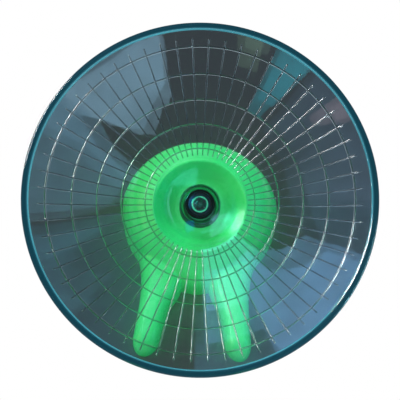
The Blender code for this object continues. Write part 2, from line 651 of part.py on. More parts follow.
def leg(side, inset):
    """A finger-like front leg with a rounded top and tip. An inset gives the hollow under it."""
    stations = leg_stations(side)
    tip_start, tip_middle, tip_half, tip_height = stations[-1]
    previous = stations[-2]
    drift = (tip_middle - previous[1]) / (previous[0] - tip_start)
    reach = LEG_TIP_RADIUS - inset
    for share in LEG_TIP_SHARES:
        fall = math.sqrt(1 - share**2)
        half = inset + (tip_half - inset) * fall
        height = inset + (tip_height - inset) * fall
        stations.append((tip_start - reach * share, tip_middle + drift * reach * share, half, height))
    rings = []
    bottom = -depth_under_ground(inset)
    for place, middle, half, height in stations:
        points = [Vector((middle + half - inset, place, bottom))]
        for step in range(LEG_SECTION_STEPS + 1):
            angle = math.pi * step / LEG_SECTION_STEPS
            across = math.copysign(abs(math.cos(angle)) ** (2 / LEG_ROUNDNESS), math.cos(angle))
            rise = (height - inset - FOOT_STRAIGHT) * math.sin(angle) ** (2 / LEG_ROUNDNESS)
            points.append(Vector((middle + (half - inset) * across, place, FOOT_STRAIGHT + rise)))
        points.append(Vector((middle - half + inset, place, bottom)))
        rings.append(points)
    return lofted(rings)


def ground_block():
    """Everything below the ground, to cut the stand's base flat."""
    bm = bmesh.new()
    size = 4 * DISC_RADIUS
    bmesh.ops.create_cube(bm, size=size, matrix=Matrix.Translation((0, 0, -size / 2)))
    return bm


def stand(tilted):
    """The one-piece stand: bell and two legs, hollow underneath, with a boss for the pin's spigot."""
    green = material("green_plastic", (0.03, 0.62, 0.16), 0.25)
    body = add_object("stand", bell_outside(), green)
    for name, side in (("left", -1), ("right", 1)):
        combine(body, "UNION", add_cutter(name + "_leg_outside", leg(side, 0)))
    combine(body, "DIFFERENCE", add_cutter("bell_inside", bell_inside()))
    for name, side in (("left", -1), ("right", 1)):
        combine(body, "DIFFERENCE", add_cutter(name + "_leg_inside", leg(side, STAND_WALL)))
    hole = [(0, BOSS_BOTTOM - OVERRUN), (SCREW_HOLE_RADIUS, BOSS_BOTTOM - OVERRUN),
            (SCREW_HOLE_RADIUS, SPIGOT_BORE_BOTTOM + OVERRUN), (0, SPIGOT_BORE_BOTTOM + OVERRUN)]
    combine(body, "DIFFERENCE", add_cutter("screw_hole", turned(hole, PIN_SIDES), tilted))
    combine(body, "DIFFERENCE", add_cutter("ground", ground_block()))


def tilted_empty(name):
    made = bpy.data.objects.new(name, None)
    bpy.context.scene.collection.objects.link(made)
    made.location = HUB
    made.rotation_euler = (TILT, 0, 0)
    return made


def main():
    for old in list(bpy.data.objects):
        bpy.data.objects.remove(old)
    material("cutter", (0.5, 0.5, 0.5), 0.5)
    steel = material("bearing_steel", (0.45, 0.46, 0.48), 0.3, metallic=1.0)
    polished = material("polished_steel", (0.62, 0.63, 0.65), 0.12, metallic=1.0)
    fixed = tilted_empty("pin_axis")
    disc = tilted_empty("disc_axis")
    running_disc(disc)
    stand(fixed)
    for place, middle in (("upper", UPPER_MIDDLE), ("lower", LOWER_MIDDLE)):
        ball_bearing(place, steel, polished, middle, fixed, disc, tilted_empty(place + "_cage_axis"))
    spacers(fixed, disc, steel)
    axle_pin(fixed, steel)
    pin_hardware(fixed, disc, steel)


main()
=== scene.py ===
import json
import math

import bmesh
import bpy
from mathutils import Matrix, Vector

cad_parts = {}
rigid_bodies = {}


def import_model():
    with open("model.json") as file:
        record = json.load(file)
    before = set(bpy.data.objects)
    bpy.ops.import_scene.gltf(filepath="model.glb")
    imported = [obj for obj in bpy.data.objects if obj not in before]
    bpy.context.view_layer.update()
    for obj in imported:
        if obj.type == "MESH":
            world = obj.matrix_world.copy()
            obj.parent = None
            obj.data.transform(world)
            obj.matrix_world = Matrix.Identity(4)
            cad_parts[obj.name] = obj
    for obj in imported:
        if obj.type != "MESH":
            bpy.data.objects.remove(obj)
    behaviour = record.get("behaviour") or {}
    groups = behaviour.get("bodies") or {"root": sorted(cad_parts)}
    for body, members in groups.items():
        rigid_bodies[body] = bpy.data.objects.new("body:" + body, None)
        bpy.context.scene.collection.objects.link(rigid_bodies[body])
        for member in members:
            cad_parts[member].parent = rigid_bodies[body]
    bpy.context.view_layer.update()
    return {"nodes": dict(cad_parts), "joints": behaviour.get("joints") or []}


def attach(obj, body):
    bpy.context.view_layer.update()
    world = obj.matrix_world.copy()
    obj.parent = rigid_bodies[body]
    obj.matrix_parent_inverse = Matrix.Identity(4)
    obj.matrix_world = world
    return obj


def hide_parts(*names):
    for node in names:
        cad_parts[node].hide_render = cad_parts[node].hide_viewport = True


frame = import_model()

# Stand
# One hollow moulding in bright green plastic, open underneath. A bell holds the pin's boss in a
# round recess, and two finger-like legs reach forward from it. One smoothed skin round all three
# shapes blends the legs' roots, and a second one inside makes the hollow.
hinge = frame["joints"][0]
hub = Vector(hinge["pos_m"])
tilt = math.atan2(-hinge["axis"][1], hinge["axis"][2])
lean = Matrix.Translation(hub) @ Matrix.Rotation(tilt, 4, "X")

# Sizes are in metres. Heights on the pin count from the dish's flat floor
stand_wall = 0.0024
foot_straight = 0.0020
under_ground = 0.0030
bell_half_width = 0.0457
bell_behind_hub = 0.0228
bell_rear_reach = 0.0292
bell_front_reach = 0.0536
bell_taper = 1.25
bell_sides = 96
bell_steps = 14
rise_share = 0.52
shoulder_reach_share = 0.44
shoulder_droop_share = 0.32
lip_drop = 0.0100
lip_width = 0.0024
recess_radius = 0.0245
recess_floor_radius = 0.0145
recess_floor = -0.021145
boss_wall = 0.0030
spigot_bore_radius = 0.0032
spigot_bore_bottom = -0.031145
boss_bottom = -0.033145
screw_hole_radius = 0.0018
leg_length = 0.0710
leg_outer_reach = 0.0318
leg_inner_reach = 0.0172
leg_height = 0.0150
leg_tip_radius = 0.0095
leg_roundness = 2.6
leg_sides = 40
leg_steps = 5
# Each station: place along the leg, its outer edge, its inner edge and its height, as shares
leg_shares = (
    (0.03, 1.170, 0.96, 1.12),
    (0.17, 1.050, 0.72, 1.08),
    (0.30, 0.985, 0.53, 1.03),
    (0.41, 0.960, 0.45, 0.98),
    (0.49, 0.955, 0.54, 0.94),
    (0.56, 0.955, 0.70, 0.91),
    (0.69, 0.970, 0.87, 0.87),
    (0.866, 1.000, 1.00, 0.80),
)
leg_tip_shares = (0.25, 0.5, 0.7, 0.85, 0.94, 0.985)
outer_voxel = 0.0006
inner_voxel = 0.0009
smoothing_passes = 14
weld_reach = 1e-6
screw_hole_sides = 32

deep_green = (0.045, 0.66, 0.16)
light_green = (0.085, 0.80, 0.22)
# A faint green glow of the plastic's own, which is no lamp: painted glow that keeps the stand
# bright
painted_glow_colour = (0.005, 0.80, 0.18)
painted_glow_amount = 0.10
green_roughness = (0.22, 0.34)
# Each noise: its waves to a metre, and its fine detail
green_clouds = (28, 2)
green_sheen = (160, 3)
green_grain = (1400, 2)
grain_depth = 0.000015
noise_middle = (0.3, 0.7)


def on_pin(turn, radius, along):
    return lean @ Vector((radius * math.cos(turn), radius * math.sin(turn), along))


def bell_foot(turn, inset):
    behind = math.sin(turn) > 0
    reach = bell_rear_reach if behind else bell_front_reach
    taper = 1 if behind else bell_taper
    side = math.copysign(abs(math.cos(turn)) ** taper, math.cos(turn))
    across = (bell_half_width - inset) * side
    along = hub.y + bell_behind_hub + (reach - inset) * math.sin(turn)
    return Vector((across, along, foot_straight))


def bell_side(turn, t, inset, top_radius, top_along):
    """A point on the curve from the bell's foot up to the ring about the pin that ends it."""
    foot = bell_foot(turn, inset)
    top = on_pin(turn, top_radius, top_along)
    rise = foot + Vector((0, 0, rise_share * top.z))
    outward = (on_pin(turn, 1, -shoulder_droop_share) - on_pin(turn, 0, 0)).normalized()
    shoulder = top + outward * shoulder_reach_share * (top - foot).length
    return (foot * (1 - t) ** 3 + rise * 3 * t * (1 - t) ** 2
            + shoulder * 3 * t**2 * (1 - t) + top * t**3)


def new_verts(made):
    return [item for item in made if isinstance(item, bmesh.types.BMVert)]


def open_edges(made):
    return [item for item in made if isinstance(item, bmesh.types.BMEdge) and item.is_boundary]


def loft(bm, sides, places):
    """Extrudes a ring of points through a stack of places, each a function of the turn round it."""
    turns = bm.verts.layers.float.get("turn") or bm.verts.layers.float.new("turn")
    verts = bmesh.ops.create_circle(bm, cap_ends=True, segments=sides, radius=1)["verts"]
    for vert in verts:
        vert[turns] = math.atan2(vert.co.y, vert.co.x)
        vert.co = places[0](vert[turns])
    edges = list(dict.fromkeys(edge for vert in verts for edge in vert.link_edges))
    for place in places[1:]:
        made = bmesh.ops.extrude_edge_only(bm, edges=edges)["geom"]
        for vert in new_verts(made):
            vert.co = place(vert[turns])
        edges = open_edges(made)
    bmesh.ops.contextual_create(bm, geom=edges)


def bell_places(inset, top_radius, top_along, rings):
    """From under the ground up the bell's side, and on through rings about the pin."""
    depth = 2 * under_ground if inset else under_ground
    places = [lambda turn: bell_foot(turn, inset) - Vector((0, 0, depth + foot_straight))]
    for step in range(bell_steps + 1):
        t = step / bell_steps
        places.append(lambda turn, t=t: bell_side(turn, t, inset, top_radius, top_along))
    for radius, along in rings:
        places.append(lambda turn, radius=radius, along=along: on_pin(turn, radius, along))
    return places


def through(rows, steps):
    """Rows of numbers with a smooth curve put through them, a few steps to each gap."""
    smooth = []
    for number in range(len(rows) - 1):
        before = rows[max(number - 1, 0)]
        here, there = rows[number], rows[number + 1]
        after = rows[min(number + 2, len(rows) - 1)]
        for step in range(steps):
            t = step / steps
            smooth.append([
                b + (d - a) * t / 2 + (2 * a - 5 * b + 4 * d - e) * t**2 / 2
                + (3 * b - a - 3 * d + e) * t**3 / 2
                for a, b, d, e in zip(before, here, there, after)])
    return smooth + [rows[-1]]


def leg_places(side, inset):
    """Sections of one leg, from inside the bell to its rounded tip."""
    rows = []
    for place, outer, inner, height in through(leg_shares, leg_steps):
        outer, inner = outer * leg_outer_reach, inner * leg_inner_reach
        rows.append((hub.y - place * leg_length, side * (outer + inner) / 2, (outer - inner) / 2,
                     height * leg_height))
    start, middle, half, height = rows[-1]
    drift = (middle - rows[-2][1]) / (rows[-2][0] - start)
    reach = leg_tip_radius - inset
    for share in leg_tip_shares:
        fall = math.sqrt(1 - share**2)
        rows.append((start - reach * share, middle + drift * reach * share,
                     inset + (half - inset) * fall, inset + (height - inset) * fall))
    depth = 2 * under_ground if inset else under_ground

    def section(turn, row):
        along, middle, half, height = row
        across = math.copysign(abs(math.cos(turn)) ** (2 / leg_roundness), math.cos(turn))
        rise = abs(math.sin(turn)) ** (2 / leg_roundness)
        tall = height - inset - foot_straight if math.sin(turn) > 0 else -depth - foot_straight
        return Vector((middle + (half - inset) * across, along, foot_straight + tall * rise))

    return [lambda turn, row=row: section(turn, row) for row in rows]


def new_piece(name, bm, *materials):
    mesh = bpy.data.meshes.new(name)
    bm.to_mesh(mesh)
    bm.free()
    mesh.shade_smooth()
    for finish in materials:
        mesh.materials.append(finish)
    made = bpy.data.objects.new(name, mesh)
    bpy.context.scene.collection.objects.link(made)
    return made


def one_skin(places_list, sides_list, voxel):
    """One smooth skin round shapes that run into each other, cut off at the ground."""
    bm = bmesh.new()
    for places, sides in zip(places_list, sides_list):
        loft(bm, sides, places)
    bmesh.ops.recalc_face_normals(bm, faces=bm.faces)
    rough = new_piece("skin", bm)
    remesh = rough.modifiers.new("skin", "REMESH")
    remesh.mode = "VOXEL"
    remesh.voxel_size = voxel
    smooth = rough.modifiers.new("smooth", "SMOOTH")
    smooth.iterations = smoothing_passes
    bm = bmesh.new()
    bm.from_object(rough, bpy.context.evaluated_depsgraph_get())
    bpy.data.objects.remove(rough)
    bmesh.ops.bisect_plane(bm, geom=[*bm.verts, *bm.edges, *bm.faces], dist=weld_reach,
                           plane_co=(0, 0, 0), plane_no=(0, 0, -1), clear_outer=True)
    return bm


def stand_skin():
    """The outer skin and, inside out, the inner one, joined round the foot."""
    lip = recess_radius + lip_width
    outer_rings = [
        (recess_radius + lip_width / 2, -lip_drop),
        (recess_radius, -lip_drop - lip_width / 2),
        (recess_floor_radius + lip_width / 2, recess_floor + lip_width / 2),
        (recess_floor_radius - lip_width / 2, recess_floor),
        (spigot_bore_radius, recess_floor),
        (spigot_bore_radius, spigot_bore_bottom),
    ]
    slant = stand_wall * math.sqrt(2) / 2
    boss_radius = spigot_bore_radius + boss_wall
    inner_rings = [
        (recess_floor_radius + lip_width / 2 + slant, recess_floor + lip_width / 2 - slant),
        (recess_floor_radius, recess_floor - stand_wall),
        (boss_radius, recess_floor - stand_wall),
        (boss_radius, boss_bottom),
    ]
    top = -lip_drop - lip_width / 2
    outer = [bell_places(0, lip, top, outer_rings), leg_places(-1, 0), leg_places(1, 0)]
    inner = [bell_places(stand_wall, lip + stand_wall / 2, top - stand_wall, inner_rings),
             leg_places(-1, stand_wall), leg_places(1, stand_wall)]
    sides = [bell_sides, leg_sides, leg_sides]
    bm = one_skin(outer, sides, outer_voxel)
    inside = one_skin(inner, sides, inner_voxel)
    bmesh.ops.reverse_faces(inside, faces=inside.faces)
    mesh = bpy.data.meshes.new("inside")
    inside.to_mesh(mesh)
    inside.free()
    bm.from_mesh(mesh)
    bpy.data.meshes.remove(mesh)
    bmesh.ops.triangle_fill(bm, use_beauty=True, edges=open_edges(bm.edges), normal=(0, 0, -1))
    return bm


def drill_screw_hole(piece):
    """The hole in the web under the pin's socket, for the screw that comes up from beneath."""
    bm = bmesh.new()
    depth = 2 * (spigot_bore_bottom - boss_bottom)
    place = lean @ Matrix.Translation((0, 0, (spigot_bore_bottom + boss_bottom) / 2))
    bmesh.ops.create_cone(bm, cap_ends=True, segments=screw_hole_sides, radius1=screw_hole_radius,
                          radius2=screw_hole_radius, depth=depth, matrix=place)
    drill = new_piece("drill", bm)
    cut = piece.modifiers.new("hole", "BOOLEAN")
    cut.operation, cut.solver, cut.object = "DIFFERENCE", "MANIFOLD", drill
    bm = bmesh.new()
    bm.from_object(piece, bpy.context.evaluated_depsgraph_get())
    piece.modifiers.clear()
    bm.to_mesh(piece.data)
    bm.free()
    piece.data.shade_smooth()
    bpy.data.objects.remove(drill)


def new_material(name):
    made = bpy.data.materials.new(name)
    made.use_nodes = True
    nodes, links = made.node_tree.nodes, made.node_tree.links
    return made, nodes, links, nodes["Principled BSDF"]


def noise_at(nodes, links, coords, scale, detail):
    noise = nodes.new("ShaderNodeTexNoise")
    noise.inputs["Scale"].default_value = scale
    noise.inputs["Detail"].default_value = detail
    links.new(coords, noise.inputs["Vector"])
    return noise.outputs["Fac"]


def ranged(nodes, links, value, given, wanted):
    """Maps a value from one range, as (lowest, highest), to another, and holds it within that."""
    mapped = nodes.new("ShaderNodeMapRange")
    for socket, number in zip(("From Min", "From Max", "To Min", "To Max"), (*given, *wanted)):
        mapped.inputs[socket].default_value = number
    links.new(value, mapped.inputs["Value"])
    return mapped.outputs["Result"]


def clouded(nodes, links, coords, noise, one, other):
    """A colour that drifts softly from one colour to another."""
    mix = nodes.new("ShaderNodeMix")
    mix.data_type = "RGBA"
    mix.inputs["A"].default_value = (*one, 1)
    mix.inputs["B"].default_value = (*other, 1)
    drift = ranged(nodes, links, noise_at(nodes, links, coords, *noise), noise_middle, (0, 1))
    links.new(drift, mix.inputs["Factor"])
    return mix.outputs["Result"]


def raised(nodes, links, height, depth, shader):
    bump = nodes.new("ShaderNodeBump")
    bump.inputs["Strength"].default_value = 1
    bump.inputs["Distance"].default_value = depth
    links.new(height, bump.inputs["Height"])
    links.new(bump.outputs[0], shader.inputs["Normal"])


green, nodes, links, shader = new_material("moulded green plastic")
coords = nodes.new("ShaderNodeTexCoord").outputs["Object"]
colour = clouded(nodes, links, coords, green_clouds, deep_green, light_green)
links.new(colour, shader.inputs["Base Color"])
sheen = noise_at(nodes, links, coords, *green_sheen)
links.new(ranged(nodes, links, sheen, noise_middle, green_roughness), shader.inputs["Roughness"])
raised(nodes, links, noise_at(nodes, links, coords, *green_grain), grain_depth, shader)
# Painted glow: the green plastic gives off a little light of its own
shader.inputs["Emission Color"].default_value = (*painted_glow_colour, 1)
shader.inputs["Emission Strength"].default_value = painted_glow_amount

stand = new_piece("green_stand", stand_skin(), green)
drill_screw_hole(stand)
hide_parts("stand")
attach(stand, "stand")

# Running disc
# One smoky clear moulding, with the hub tube under it. Its ribbed dish is a wedge with one radial
# rib, copied round the pin. The flat floor with its stepped wall, and the rolled rim with the
# underside and the hub tube, are two turned profiles that meet it.
disc_radius = 0.0900
disc_wall = 0.0018
rim_roll_radius = 0.00195
floor_radius = 0.0198
shoulder_radius = 0.0251
flat_margin = 0.0006
step_height = 0.0048
start_slope = math.radians(12)
end_slope = math.radians(38)
rib_count = 60
rib_half_width = 0.000375
rib_height = 0.0005
rib_end_length = 0.0004
rib_round_steps = 6
rib_inset = 0.0006
rib_rim_margin = 0.0038
ring_radii = [0.0294 + 0.0124 * number for number in range(5)]
gap_segments = 6
station_gap = 0.0024
step_steps = 10
roll_steps = 16
under_steps = 24
# Share of the way round the roll, from the dish, that carries the painted highlight line
painted_highlight_share = 0.11
hub_tube_radius = 0.0104
hub_bore_radius = 0.0083
hub_pocket_radius = 0.0063
hub_tube_end = -0.020145
hub_fillet = 0.0008
retainer_top = -0.017595
retainer_groove_radius = 0.0090
retainer_room = 0.0013
upper_bearing_top = -0.0037
upper_bearing_stop = 0.0003
retainer_groove_slack = 0.00015
fillet_steps = 3
step_finish_margin = 0.0004
tube_finish_margin = 0.0001
dish_sharp_angle = math.radians(50)
smoke_clouds = (16, 2)
marks_detail = 3
disc_marks = 2500
disc_marks_spread = (0.6, 1.4)
lamp_light_let_by = 0.04
# The colour of the painted glow that some of the disc's plastics give off
painted_aqua_tint = (0.11, 0.69, 1.0)
# The disc's materials, in their order
dish_faces, rib_faces, rim_faces, tube_faces, painted_highlight_faces, step_faces = range(6)

half_wall = disc_wall / 2
roll_reach = math.sqrt(rim_roll_radius**2 - half_wall**2)
roll_across = roll_reach * math.cos(end_slope) + half_wall * math.sin(end_slope)
roll_down = roll_reach * math.sin(end_slope) - half_wall * math.cos(end_slope)
rim_inner_radius = disc_radius - rim_roll_radius - roll_across
arc_radius = (rim_inner_radius - shoulder_radius) / (math.sin(end_slope) - math.sin(start_slope))
rib_start = shoulder_radius + rib_inset
rib_end = rim_inner_radius - rib_rim_margin
rounding = [math.pi * step / rib_round_steps for step in range(rib_round_steps + 1)]


def slope_at(radius):
    return math.asin(math.sin(start_slope) + (radius - shoulder_radius) / arc_radius)


def height_at(radius):
    return step_height + arc_radius * (math.cos(start_slope) - math.cos(slope_at(radius)))


roll_radius = disc_radius - rim_roll_radius
roll_height = height_at(rim_inner_radius) + roll_down


def chain(bm, points):
    verts = [bm.verts.new(point) for point in points]
    return [bm.edges.new(pair) for pair in zip(verts, verts[1:])]


def turn_profile(bm, profile, sides):
    """Spins a profile of (radius, height) points about the Z axis."""
    edges = chain(bm, [(radius, 0, height) for radius, height in profile])
    verts = dict.fromkeys(vert for edge in edges for vert in edge.verts)
    bmesh.ops.spin(bm, geom=[*verts, *edges], cent=(0, 0, 0), axis=(0, 0, 1), angle=math.tau,
                   steps=sides, use_merge=True)


def step_curve(start, end):
    """The S-shaped wall from the floor (level) to the shoulder (at the dish's first slope)."""
    run = (end[0] - start[0]) / 2
    corners = (start, (start[0] + run, start[1]),
               (end[0] - run * math.cos(start_slope), end[1] - run * math.sin(start_slope)), end)
    points = []
    for step in range(step_steps + 1):
        t = step / step_steps
        weights = ((1 - t) ** 3, 3 * t * (1 - t) ** 2, 3 * t**2 * (1 - t), t**3)
        points.append(tuple(sum(w * corner[axis] for w, corner in zip(weights, corners))
                            for axis in (0, 1)))
    return points


def stations():
    """Places up the dish: radius, rib half width, and how far the rings and the ribs stand up."""
    swell = [turn for turn in rounding if turn <= math.pi / 2]
    marks = [(shoulder_radius, 0, 0, 0)]
    for turn in swell:
        marks.append((rib_start + rib_end_length * (1 - math.cos(turn)), rib_half_width, 0,
                      math.sin(turn)))
    for radius in ring_radii:
        for turn in rounding:
            marks.append((radius - rib_half_width * math.cos(turn), rib_half_width,
                          math.sin(turn), 1))
    for turn in reversed(swell):
        marks.append((rib_end - rib_end_length * (1 - math.cos(turn)), rib_half_width, 0,
                      math.sin(turn)))
    marks.append((rim_inner_radius, 0, 0, 0))
    filled = []
    for here, there in zip(marks, marks[1:]):
        count = math.ceil((there[0] - here[0]) / station_gap)
        filled += [[p + (q - p) * number / count for p, q in zip(here, there)]
                   for number in range(count)]
    return filled + marks[-1:]


def dish_columns():
    """Lines of points up the dish, across one radial rib, rounded like a wire, and to the next."""
    wedge = math.tau / rib_count
    places = [(-math.cos(turn), math.sin(turn), 0) for turn in rounding]
    places += [(1, 0, step / gap_segments) for step in range(1, gap_segments + 1)]
    for side, swell, gap in places:
        points = []
        for radius, half, on_ring, on_rib in stations():
            turn = math.asin(side * half / radius)
            turn += gap * (wedge - 2 * math.asin(half / radius))
            outward = Vector((math.cos(turn), math.sin(turn), 0))
            slope = slope_at(radius)
            up = Vector((0, 0, math.cos(slope))) - outward * math.sin(slope)
            lift = rib_height * max(on_ring, on_rib * swell)
            points.append(outward * radius + Vector((0, 0, height_at(radius))) + up * lift)
        yield points


def dish_wedge(bm):
    """One radial rib and the gap up to the next, copied round the pin."""
    columns = [chain(bm, points) for points in dish_columns()]
    for number, (right, left) in enumerate(zip(columns, columns[1:])):
        for face in bmesh.ops.bridge_loops(bm, edges=right + left)["faces"]:
            radii = [vert.co.xy.length for vert in face.verts]
            middle = (min(radii) + max(radii)) / 2
            on_ring = any(abs(middle - radius) < rib_half_width for radius in ring_radii)
            on_rib = number < rib_round_steps and rib_start < middle < rib_end
            face.material_index = rib_faces if on_ring or on_rib else dish_faces
    bmesh.ops.remove_doubles(bm, verts=bm.verts, dist=weld_reach)
    bmesh.ops.spin(bm, geom=[*bm.verts, *bm.edges, *bm.faces], cent=(0, 0, 0), axis=(0, 0, 1),
                   angle=math.tau * (rib_count - 1) / rib_count, steps=rib_count - 1,
                   use_duplicate=True)
    bmesh.ops.remove_doubles(bm, verts=bm.verts, dist=weld_reach)


def under_profile():
    """Round the rolled rim, back under the dish, and down the hub tube and up its bore."""
    start = math.atan2(-roll_down, -roll_across) % math.tau
    end = math.atan2(-roll_down - disc_wall * math.cos(end_slope),
                     disc_wall * math.sin(end_slope) - roll_across)
    points = []
    for step in range(roll_steps + 1):
        turn = start + (end - start) * step / roll_steps
        points.append((roll_radius + rim_roll_radius * math.cos(turn),
                       roll_height + rim_roll_radius * math.sin(turn)))
    under = []
    for step in range(under_steps + 1):
        radius = rim_inner_radius - (rim_inner_radius - shoulder_radius) * step / under_steps
        slope = slope_at(radius)
        under.append((radius + disc_wall * math.sin(slope),
                      height_at(radius) - disc_wall * math.cos(slope)))
    points += under[1:-1]
    points += step_curve((floor_radius + half_wall, -disc_wall), under[-1])[::-1]
    points.append((floor_radius + half_wall - flat_margin, -disc_wall))
    for step in range(fillet_steps + 1):
        turn = math.pi / 2 * step / fillet_steps
        points.append((hub_tube_radius + hub_fillet * (1 - math.sin(turn)),
                       -disc_wall - hub_fillet * (1 - math.cos(turn))))
    stop = upper_bearing_top + upper_bearing_stop
    groove_bottom = retainer_top - retainer_room
    groove_top = retainer_top + retainer_groove_slack
    return points + [
        (hub_tube_radius, hub_tube_end),
        (hub_bore_radius, hub_tube_end),
        (hub_bore_radius, groove_bottom),
        (retainer_groove_radius, groove_bottom),
        (retainer_groove_radius, groove_top),
        (hub_bore_radius, groove_top),
        (hub_bore_radius, stop),
        (hub_pocket_radius, stop),
        (hub_pocket_radius, -disc_wall),
        (0, -disc_wall),
    ]


def roll_start_share(point):
    """How far round the rolled rim a point is, from where the roll leaves the dish."""
    turn = math.atan2(point.z - roll_height, point.xy.length - roll_radius)
    return (math.pi - turn) / math.tau


def disc_mesh():
    bm = bmesh.new()
    dish_wedge(bm)
    sides = rib_count * gap_segments
    step_wall = step_curve((floor_radius, 0), (shoulder_radius, step_height))
    turn_profile(bm, [(0, 0), (floor_radius - flat_margin, 0), *step_wall], sides)
    turn_profile(bm, under_profile(), sides)
    bmesh.ops.remove_doubles(bm, verts=bm.verts, dist=weld_reach)
    bmesh.ops.recalc_face_normals(bm, faces=bm.faces)
    for face in bm.faces:
        middle = face.calc_center_median()
        radius = middle.xy.length
        if radius > rim_inner_radius and face.material_index == dish_faces:
            # A thin band on the roll's inner edge gets the painted highlight line
            inner_edge = radius < roll_radius and middle.z > roll_height
            bright = inner_edge and roll_start_share(middle) < painted_highlight_share
            face.material_index = painted_highlight_faces if bright else rim_faces
        if middle.z < -disc_wall - tube_finish_margin:
            face.material_index = tube_faces
        elif floor_radius - step_finish_margin < radius < shoulder_radius:
            face.material_index = step_faces
    bmesh.ops.transform(bm, matrix=lean, verts=bm.verts)
    return bm


def vector_maths(nodes, links, operation, value, by=None):
    maths = nodes.new("ShaderNodeVectorMath")
    maths.operation = operation
    links.new(value, maths.inputs[0])
    if by is not None:
        maths.inputs[1].default_value = by
    return maths.outputs


def turned_marks_group():
    """Fine circles about the pin, as turning, grinding and paws leave them."""
    group = bpy.data.node_groups.new("turned marks", "ShaderNodeTree")
    group.interface.new_socket("Fineness", in_out="INPUT", socket_type="NodeSocketFloat")
    group.interface.new_socket("Marks", in_out="OUTPUT", socket_type="NodeSocketFloat")
    nodes, links = group.nodes, group.links
    given, told = nodes.new("NodeGroupInput"), nodes.new("NodeGroupOutput")
    to_pin = nodes.new("ShaderNodeMapping")
    to_pin.vector_type = "TEXTURE"
    to_pin.inputs["Location"].default_value = hub
    to_pin.inputs["Rotation"].default_value = (tilt, 0, 0)
    links.new(nodes.new("ShaderNodeTexCoord").outputs["Object"], to_pin.inputs["Vector"])
    flat = vector_maths(nodes, links, "MULTIPLY", to_pin.outputs[0], (1, 1, 0))[0]
    apart = nodes.new("ShaderNodeSeparateXYZ")
    links.new(to_pin.outputs[0], apart.inputs[0])
    profile = nodes.new("ShaderNodeCombineXYZ")
    links.new(vector_maths(nodes, links, "LENGTH", flat)["Value"], profile.inputs["X"])
    links.new(apart.outputs["Z"], profile.inputs["Z"])
    noise = nodes.new("ShaderNodeTexNoise")
    noise.inputs["Detail"].default_value = marks_detail
    links.new(profile.outputs[0], noise.inputs["Vector"])
    links.new(given.outputs["Fineness"], noise.inputs["Scale"])
    links.new(noise.outputs["Fac"], told.inputs["Marks"])
    return group


turned_marks = turned_marks_group()


def marks_at(nodes, fineness):
    marks = nodes.new("ShaderNodeGroup")
    marks.node_tree = turned_marks
    marks.inputs["Fineness"].default_value = fineness
    return marks.outputs["Marks"]


def smoky_clear(name, tint, roughness, ior, uneven=0.12, painted_aqua_amount=0):
    """See-through plastic. It holds back most light of lamps, and lets light off pale things by."""
    made, nodes, links, shader = new_material(name)
    coords = nodes.new("ShaderNodeTexCoord").outputs["Object"]
    darker = [part * (1 - uneven) for part in tint]
    thick = clouded(nodes, links, coords, smoke_clouds, darker, tint)
    links.new(thick, shader.inputs["Base Color"])
    shader.inputs["Transmission Weight"].default_value = 1
    # Painted glow, where one is asked for: light of the plastic's own, which is no lamp
    shader.inputs["Emission Color"].default_value = (*painted_aqua_tint, 1)
    shader.inputs["Emission Strength"].default_value = painted_aqua_amount
    shader.inputs["IOR"].default_value = ior
    gloss = [share * roughness for share in disc_marks_spread]
    links.new(ranged(nodes, links, marks_at(nodes, disc_marks), noise_middle, gloss),
              shader.inputs["Roughness"])
    path = nodes.new("ShaderNodeLightPath")
    let_by = nodes.new("ShaderNodeMath")
    let_by.operation = "MULTIPLY_ADD"
    let_by.inputs[1].default_value = lamp_light_let_by
    links.new(path.outputs["Is Shadow Ray"], let_by.inputs[0])
    links.new(path.outputs["Is Diffuse Ray"], let_by.inputs[2])
    solid = nodes.new("ShaderNodeMath")
    solid.operation = "SUBTRACT"
    solid.inputs[0].default_value = 1
    links.new(let_by.outputs[0], solid.inputs[1])
    links.new(solid.outputs[0], shader.inputs["Alpha"])
    return made


disc = new_piece("clear_disc", disc_mesh(),
                 smoky_clear("smoky clear dish", (0.60, 0.74, 0.83), roughness=0.03, ior=1.5),
                 # The ribs: a much darker tint of the same plastic, painted shade that makes them
                 # read as dark lines
                 smoky_clear("smoky clear ribs", (0.14, 0.20, 0.23), roughness=0.18, ior=1.35),
                 # The rim: a dark tint, partly the deeper colour of the thick roll and partly
                 # painted shade, with a faint painted aqua glow
                 smoky_clear("smoky clear rim", (0.010, 0.060, 0.080), roughness=0.06, ior=1.15,
                             uneven=0.3, painted_aqua_amount=0.055),
                 smoky_clear("smoky clear tube", (0.01, 0.13, 0.11), roughness=0.25, ior=1.03),
                 # The rim's inner edge: a bright aqua tint with a stronger glow, a painted
                 # highlight line
                 smoky_clear("smoky clear rim painted highlight line", (0.28, 0.90, 0.92), roughness=0.05, ior=1.5,
                             uneven=0.5, painted_aqua_amount=0.12),
                 smoky_clear("smoky clear step", (0.60, 0.74, 0.80), roughness=0.12, ior=1.12))
disc.data.set_sharp_from_angle(angle=dish_sharp_angle)
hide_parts("running_disc")
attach(disc, "disc")

# Ball bearings
# Two shielded bearings, 5 mm inside, 16 mm outside and 5 mm wide, are pressed into the hub tube
# with spacers between. The races are ground steel, and the shields thin pressings with a sunk
# ring, coloured dark navy as painted shade. The balls, cages and spacers keep their CAD shapes.
bearing_radius = 0.0080
bearing_bore_radius = 0.0025
bearing_width = 0.0049975
bearing_middles = {"upper": -0.00619875, "lower": -0.01479625}
ball_pitch_radius = 0.00525
groove_radius = 0.00153875
groove_reach = math.radians(41.49)
groove_steps = 10
inner_race_radius = 0.0040973
outer_race_inside = 0.0064027
shield_seat_radius = 0.0069527
shield_seat_depth = 0.00069
shield_inner_radius = 0.0043973
shield_outer_radius = 0.0066527
shield_top = 0.00225875
shield_sheet = 0.00016
shield_dish = 0.00014
shield_outer_lip = 0.0061
shield_outer_fold = 0.0059
shield_inner_fold = 0.0049
shield_inner_lip = 0.0047
edge_cut = 0.00015
round_sides = 72
fine_weld_reach = 1e-7
turned_sharp_angle = math.radians(35)

metal_clouds = (700, 4)
metal_shade = 0.75
metal_marks_spread = (0.7, 1.3)


